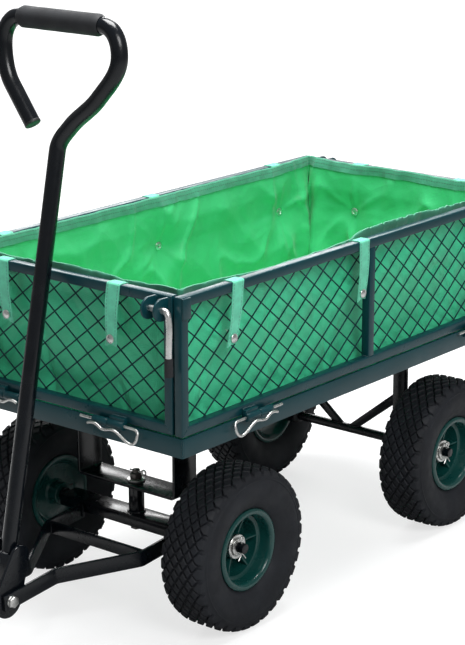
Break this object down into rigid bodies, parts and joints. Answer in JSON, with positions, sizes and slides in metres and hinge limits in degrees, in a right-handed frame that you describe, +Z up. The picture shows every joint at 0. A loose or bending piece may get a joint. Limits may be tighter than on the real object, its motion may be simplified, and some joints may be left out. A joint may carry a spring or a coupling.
{
  "type": "garden cart",
  "caption": "Four-wheeled garden cart with a steel bed, fold-down mesh sides, a lift-out fabric tub and a steered pull handle.",
  "frame": {"origin": "on the floor, under the middle of the whole cart's length and width", "axes": "+X forward to the pull handle, +Y to the cart's left, +Z up"},
  "size_m": [1.1334, 0.5246, 0.9492],
  "materials": {
    "teal_paint": "gloss",
    "mesh_paint": "satin",
    "black_paint": "gloss",
    "rim_paint": "gloss",
    "zinc": "bright zinc",
    "dark_steel": "oiled",
    "black_plastic": "matt",
    "grip_rubber": "foamed, matt",
    "tyre": "matt",
    "butyl": "matt",
    "webbing": "woven",
    "tub_fabric": "coated, semi-gloss"
  },
  "bodies": {
    "bed": {"tray_frame": "teal_paint", "deck_mesh": "mesh_paint", "deck_bearers": "teal_paint", "front_support": "black_paint", "support_bolts": "zinc", "kingpin_bolt": "zinc", "kingpin_washer": "zinc", "kingpin_nut": "dark_steel", "kingpin_cotter": "zinc", "rear_legs": "black_paint", "rear_axle": "black_paint", "rear_braces": "black_paint", "rear_axle_washers": "zinc", "rear_axle_cotters": "zinc", "tray_knuckles": "teal_paint", "panel_clips": "zinc"},
    "steering": {"steering_beam": "black_paint", "kingpin_sleeve": "black_paint", "yoke_arm_left": "black_paint", "yoke_arm_right": "black_paint", "yoke_brace": "black_paint", "front_axle_washers": "zinc", "front_axle_cotters": "zinc", "pull_bolt": "zinc", "pull_nut": "zinc"},
    "handle": {"handle_tube": "black_paint", "handle_end_cap": "black_plastic", "handle_grip": "grip_rubber", "handle_bracket": "black_paint"},
    "wheel_front_left": {"tyre_front_left": "tyre", "rim_front_left": "rim_paint", "inner_tube_front_left": "butyl"},
    "wheel_front_right": {"tyre_front_right": "tyre", "rim_front_right": "rim_paint", "inner_tube_front_right": "butyl"},
    "wheel_rear_left": {"tyre_rear_left": "tyre", "rim_rear_left": "rim_paint", "inner_tube_rear_left": "butyl"},
    "wheel_rear_right": {"tyre_rear_right": "tyre", "rim_rear_right": "rim_paint", "inner_tube_rear_right": "butyl"},
    "panel_left": {"panel_frame_left": "teal_paint", "panel_mesh_left": "mesh_paint", "rail_straps_left": "webbing"},
    "panel_right": {"panel_frame_right": "teal_paint", "panel_mesh_right": "mesh_paint", "rail_straps_right": "webbing"},
    "panel_front": {"panel_frame_front": "teal_paint", "panel_mesh_front": "mesh_paint", "rail_straps_front": "webbing"},
    "panel_rear": {"panel_frame_rear": "teal_paint", "panel_mesh_rear": "mesh_paint", "rail_straps_rear": "webbing"},
    "lever_front_left": {"latch_front_left": "zinc"},
    "lever_front_right": {"latch_front_right": "zinc"},
    "lever_rear_left": {"latch_rear_left": "zinc"},
    "lever_rear_right": {"latch_rear_right": "zinc"},
    "tub_body": {"tub": "tub_fabric"}
  },
  "joints": [
    {"name": "steer", "type": "hinge", "parent": "bed", "child": "steering", "pos_m": [0.22575, 0, 0.16], "axis": [0, 0, 1], "range_deg": [-20, 20]},
    {"name": "handle_fold", "type": "hinge", "parent": "steering", "child": "handle", "pos_m": [0.53875, 0, 0.09687], "axis": [0, 1, 0], "range_deg": [0, 105]},
    {"name": "wheel_front_left_spin", "type": "hinge", "parent": "steering", "child": "wheel_front_left", "pos_m": [0.22575, 0.197, 0.13], "axis": [0, 1, 0], "continuous": true},
    {"name": "wheel_front_right_spin", "type": "hinge", "parent": "steering", "child": "wheel_front_right", "pos_m": [0.22575, -0.197, 0.13], "axis": [0, 1, 0], "continuous": true},
    {"name": "wheel_rear_left_spin", "type": "hinge", "parent": "bed", "child": "wheel_rear_left", "pos_m": [-0.34125, 0.197, 0.13], "axis": [0, 1, 0], "continuous": true},
    {"name": "wheel_rear_right_spin", "type": "hinge", "parent": "bed", "child": "wheel_rear_right", "pos_m": [-0.34125, -0.197, 0.13], "axis": [0, 1, 0], "continuous": true},
    {"name": "panel_left_fold", "type": "hinge", "parent": "bed", "child": "panel_left", "pos_m": [-0.06925, 0.25, 0.356], "axis": [-1, 0, 0], "range_deg": [0, 90]},
    {"name": "panel_right_fold", "type": "hinge", "parent": "bed", "child": "panel_right", "pos_m": [-0.06925, -0.25, 0.356], "axis": [1, 0, 0], "range_deg": [0, 90]},
    {"name": "panel_front_fold", "type": "hinge", "parent": "bed", "child": "panel_front", "pos_m": [0.40375, 0, 0.356], "axis": [0, 1, 0], "range_deg": [0, 4]},
    {"name": "panel_rear_fold", "type": "hinge", "parent": "bed", "child": "panel_rear", "pos_m": [-0.54225, 0, 0.356], "axis": [0, -1, 0], "range_deg": [0, 90]},
    {"name": "latch_front_left_turn", "type": "hinge", "parent": "panel_front", "child": "lever_front_left", "pos_m": [0.41175, 0.21, 0.548], "axis": [0, -1, 0], "range_deg": [0, 110]},
    {"name": "latch_front_right_turn", "type": "hinge", "parent": "panel_front", "child": "lever_front_right", "pos_m": [0.41175, -0.21, 0.548], "axis": [0, -1, 0], "range_deg": [0, 110]},
    {"name": "latch_rear_left_turn", "type": "hinge", "parent": "panel_rear", "child": "lever_rear_left", "pos_m": [-0.55025, 0.21, 0.548], "axis": [0, 1, 0], "range_deg": [0, 110]},
    {"name": "latch_rear_right_turn", "type": "hinge", "parent": "panel_rear", "child": "lever_rear_right", "pos_m": [-0.55025, -0.21, 0.548], "axis": [0, 1, 0], "range_deg": [0, 110]},
    {"name": "tub_lift", "type": "slide", "parent": "bed", "child": "tub_body", "axis": [0, 0, 1], "range_m": [0, 0.16]}
  ]
}
